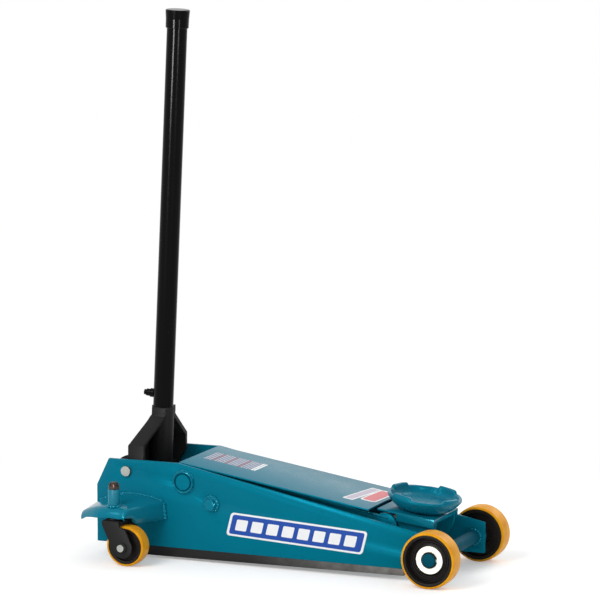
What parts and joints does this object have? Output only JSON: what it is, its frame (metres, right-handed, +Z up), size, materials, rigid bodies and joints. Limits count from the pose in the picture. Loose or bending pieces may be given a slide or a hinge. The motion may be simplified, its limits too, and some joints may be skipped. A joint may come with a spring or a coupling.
{
  "type": "trolley jack",
  "caption": "Low hydraulic trolley jack: a pumped lift arm raises a level swivelling saddle from a wheeled steel chassis with rear casters.",
  "frame": {"origin": "on the floor, under the middle of the bounding box: midway between the rear edge of the side plates and the front of the wheels, on the jack's middle plane", "axes": "+X points to the lifting end (saddle and front wheels), +Y to the jack's left, +Z up"},
  "size_m": [0.705, 0.399, 0.9739],
  "materials": {
    "teal_paint": "gloss",
    "saddle_paint": "satin",
    "black_paint": "satin",
    "cast_block": "rough",
    "zinc_steel": "satin",
    "spring_steel": "satin",
    "washer_zinc": "satin",
    "clip_steel": "satin",
    "plug_brass": "satin",
    "chrome_ram": "polished",
    "hub_black": "rough",
    "tread_amber": "satin",
    "grip_black": "satin"
  },
  "bodies": {
    "chassis": {"side_plate_left": "teal_paint", "side_plate_right": "teal_paint", "cross_ties": "teal_paint", "skid_rails": "black_paint", "unit_cradle": "teal_paint", "front_axle": "teal_paint", "wheel_washers": "washer_zinc", "axle_clips": "clip_steel", "main_shaft": "teal_paint", "shaft_rings": "teal_paint", "anchor_bolts": "teal_paint", "yoke_pins": "zinc_steel", "caster_bracket_left": "teal_paint", "caster_bracket_right": "teal_paint", "kingpin_sleeves": "teal_paint", "pump_block": "cast_block", "oil_tank": "black_paint", "unit_plugs": "plug_brass", "plunger_spring": "spring_steel", "return_springs": "spring_steel"},
    "front_wheel_left": {"front_hub_left": "hub_black", "front_tread_left": "tread_amber"},
    "front_wheel_right": {"front_hub_right": "hub_black", "front_tread_right": "tread_amber"},
    "caster_left": {"caster_fork_left": "black_paint", "kingpin_left": "black_paint", "caster_bolt_left": "zinc_steel"},
    "caster_right": {"caster_fork_right": "black_paint", "kingpin_right": "black_paint", "caster_bolt_right": "zinc_steel"},
    "caster_wheel_left": {"caster_hub_left": "hub_black", "caster_tread_left": "tread_amber"},
    "caster_wheel_right": {"caster_hub_right": "hub_black", "caster_tread_right": "tread_amber"},
    "handle_yoke": {"yoke": "black_paint", "roller_pin": "zinc_steel"},
    "roller": {"pump_roller": "zinc_steel"},
    "handle": {"handle_stub": "black_paint", "handle_tube": "black_paint", "handle_cap": "grip_black", "set_screw": "black_paint"},
    "plunger": {"pump_plunger": "zinc_steel"},
    "release_valve": {"release_spindle": "cast_block"},
    "ram_slider": {"ram": "chrome_ram", "crosshead": "cast_block", "ram_links": "teal_paint"},
    "lift_arm": {"arm_plate_left": "teal_paint", "arm_plate_right": "teal_paint", "arm_web": "teal_paint", "arm_hub": "teal_paint", "arm_cover": "teal_paint", "lever_plates": "teal_paint", "lever_pins": "zinc_steel"},
    "saddle_carrier": {"saddle_holder": "teal_paint", "front_pin": "teal_paint", "rod_pin": "zinc_steel"},
    "level_rods": {"level_rod_left": "teal_paint", "level_rod_right": "teal_paint"},
    "saddle_cup": {"saddle": "saddle_paint", "saddle_stem": "zinc_steel"}
  },
  "joints": [
    {"name": "arm_lift", "type": "hinge", "parent": "chassis", "child": "lift_arm", "pos_m": [-0.1815, 0, 0.142], "axis": [0, -1, 0], "range_deg": [0, 52]},
    {"name": "saddle_level", "type": "hinge", "parent": "lift_arm", "child": "saddle_carrier", "pos_m": [0.19, 0, 0.088], "axis": [0, -1, 0], "range_deg": [-52, 0]},
    {"name": "rod_swing", "type": "hinge", "parent": "chassis", "child": "level_rods", "pos_m": [-0.1275, 0, 0.1065], "axis": [0, -1, 0], "range_deg": [0, 52]},
    {"name": "saddle_turn", "type": "hinge", "parent": "saddle_carrier", "child": "saddle_cup", "pos_m": [0.24, 0, 0.11], "axis": [0.1219, 0, 0.9925], "continuous": true},
    {"name": "ram_stroke", "type": "slide", "parent": "chassis", "child": "ram_slider", "axis": [1, 0, 0], "range_m": [0, 0.06318], "deforming": ["return_springs"]},
    {"name": "handle_pump", "type": "hinge", "parent": "chassis", "child": "handle_yoke", "pos_m": [-0.294, 0, 0.1535], "axis": [0, -1, 0], "range_deg": [0, 70]},
    {"name": "roller_spin", "type": "hinge", "parent": "handle_yoke", "child": "roller", "pos_m": [-0.30891, 0.019, 0.1322], "axis": [0, 1, 0], "continuous": true},
    {"name": "plunger_stroke", "type": "slide", "parent": "chassis", "child": "plunger", "axis": [1, 0, 0], "range_m": [0, 0.02988], "deforming": ["plunger_spring"]},
    {"name": "handle_twist", "type": "hinge", "parent": "handle_yoke", "child": "handle", "pos_m": [-0.2687, 0, 0.1535], "axis": [0.0454, 0, 0.999], "range_deg": [0, 150]},
    {"name": "valve_turn", "type": "hinge", "parent": "chassis", "child": "release_valve", "pos_m": [-0.2687, 0, 0.1535], "axis": [0.0454, 0, 0.999], "range_deg": [0, 150]},
    {"name": "front_spin_left", "type": "hinge", "parent": "chassis", "child": "front_wheel_left", "pos_m": [0.3025, 0.1205, 0.05], "axis": [0, 1, 0], "continuous": true},
    {"name": "caster_swivel_left", "type": "hinge", "parent": "chassis", "child": "caster_left", "pos_m": [-0.282, 0.167, 0.09], "axis": [0, 0, 1], "continuous": true},
    {"name": "caster_spin_left", "type": "hinge", "parent": "caster_left", "child": "caster_wheel_left", "pos_m": [-0.255, 0.167, 0.0365], "axis": [0, 1, 0], "continuous": true},
    {"name": "front_spin_right", "type": "hinge", "parent": "chassis", "child": "front_wheel_right", "pos_m": [0.3025, -0.1205, 0.05], "axis": [0, 1, 0], "continuous": true},
    {"name": "caster_swivel_right", "type": "hinge", "parent": "chassis", "child": "caster_right", "pos_m": [-0.282, -0.167, 0.09], "axis": [0, 0, 1], "continuous": true},
    {"name": "caster_spin_right", "type": "hinge", "parent": "caster_right", "child": "caster_wheel_right", "pos_m": [-0.255, -0.167, 0.0365], "axis": [0, 1, 0], "continuous": true}
  ],
  "couplings": [
    {"joint": "saddle_level", "follows": "arm_lift", "ratio": -1},
    {"joint": "rod_swing", "follows": "arm_lift", "ratio": 1},
    {"joint": "ram_stroke", "follows": "arm_lift", "m_per_rad": 0.069554},
    {"joint": "plunger_stroke", "follows": "handle_pump", "m_per_rad": 0.024413},
    {"joint": "valve_turn", "follows": "handle_twist", "ratio": 1}
  ]
}
